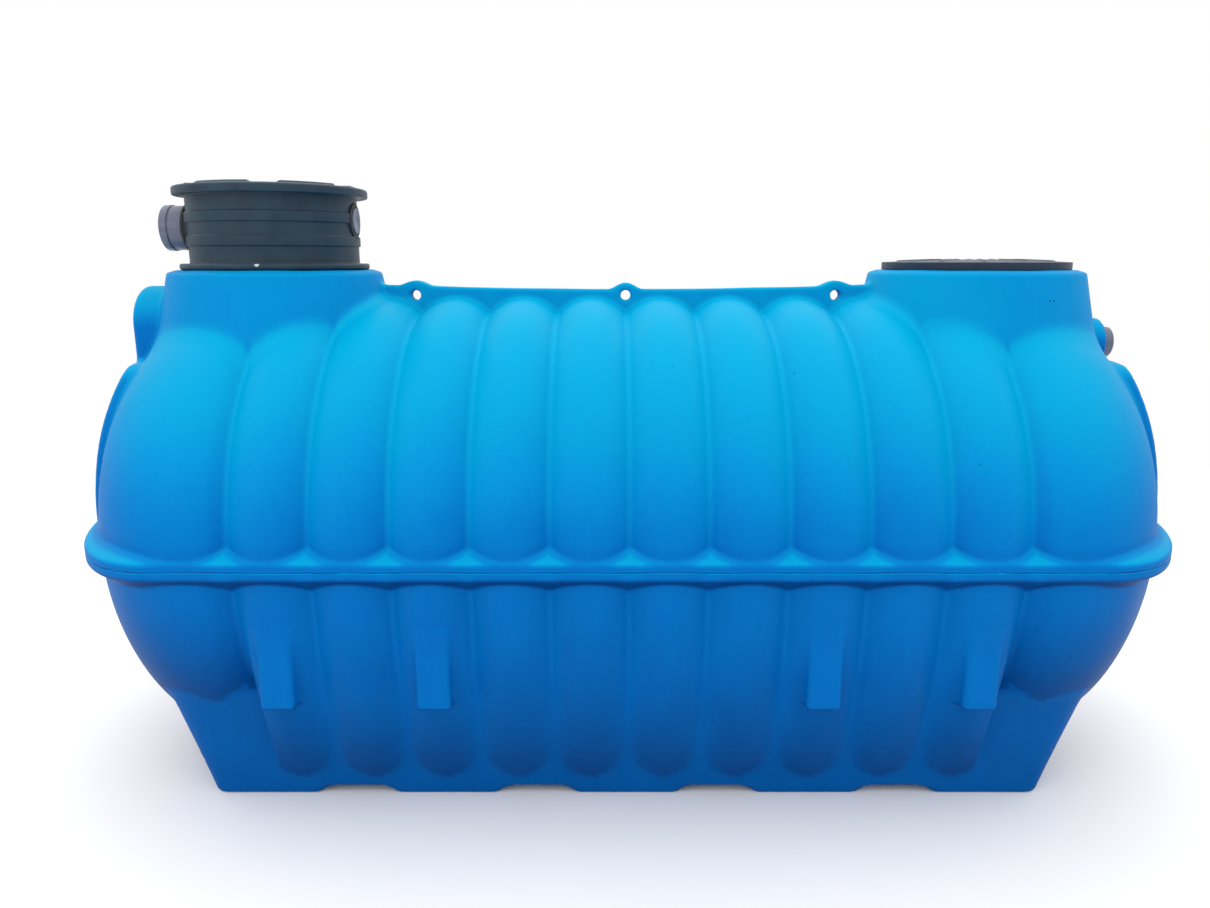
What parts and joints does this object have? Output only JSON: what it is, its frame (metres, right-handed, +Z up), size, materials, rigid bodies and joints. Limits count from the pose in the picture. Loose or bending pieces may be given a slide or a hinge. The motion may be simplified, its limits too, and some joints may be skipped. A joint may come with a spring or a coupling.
{
  "type": "rainwater tank",
  "caption": "Horizontal ribbed plastic rainwater tank: flanged halves on a footed base, necks with lids, a riser with pipe stubs and a lifting web along the crown.",
  "frame": {"origin": "on the ground under the middle of the base", "axes": "+X along the tank towards the outlet, +Z up"},
  "size_m": [3.0398, 1.246, 1.651],
  "materials": {
    "blue_shell": "satin",
    "riser_plastic": "satin",
    "lid_plastic": "satin",
    "grey_pipe": "satin",
    "rubber_seal": "matte"
  },
  "bodies": {
    "root": {"base_tray": "blue_shell", "end_panel_left": "blue_shell", "end_panel_right": "blue_shell", "front_pad_left_1": "blue_shell", "front_pad_left_2": "blue_shell", "front_pad_right_1": "blue_shell", "front_pad_right_2": "blue_shell", "front_wall_left": "blue_shell", "front_wall_middle": "blue_shell", "front_wall_right": "blue_shell", "inlet_boss": "blue_shell", "inlet_pipe": "grey_pipe", "inlet_seal": "rubber_seal", "lifting_web": "blue_shell", "lower_end_left": "blue_shell", "lower_end_right": "blue_shell", "lower_flange": "blue_shell", "neck_left": "blue_shell", "neck_lid": "lid_plastic", "neck_right": "blue_shell", "neck_right_skirt": "blue_shell", "outlet_boss": "blue_shell", "outlet_pipe": "grey_pipe", "outlet_seal": "rubber_seal", "rear_pad_left_1": "blue_shell", "rear_pad_left_2": "blue_shell", "rear_pad_right_1": "blue_shell", "rear_pad_right_2": "blue_shell", "rear_wall_left": "blue_shell", "rear_wall_middle": "blue_shell", "rear_wall_right": "blue_shell", "riser": "riser_plastic", "riser_lid": "riser_plastic", "service_seal": "rubber_seal", "service_stub": "grey_pipe", "upper_end_left": "blue_shell", "upper_end_right": "blue_shell", "upper_flange": "blue_shell", "upper_shell_left": "blue_shell", "upper_shell_left_middle": "blue_shell", "upper_shell_middle": "blue_shell", "upper_shell_right": "blue_shell", "upper_shell_right_middle": "blue_shell"}
  },
  "joints": []
}
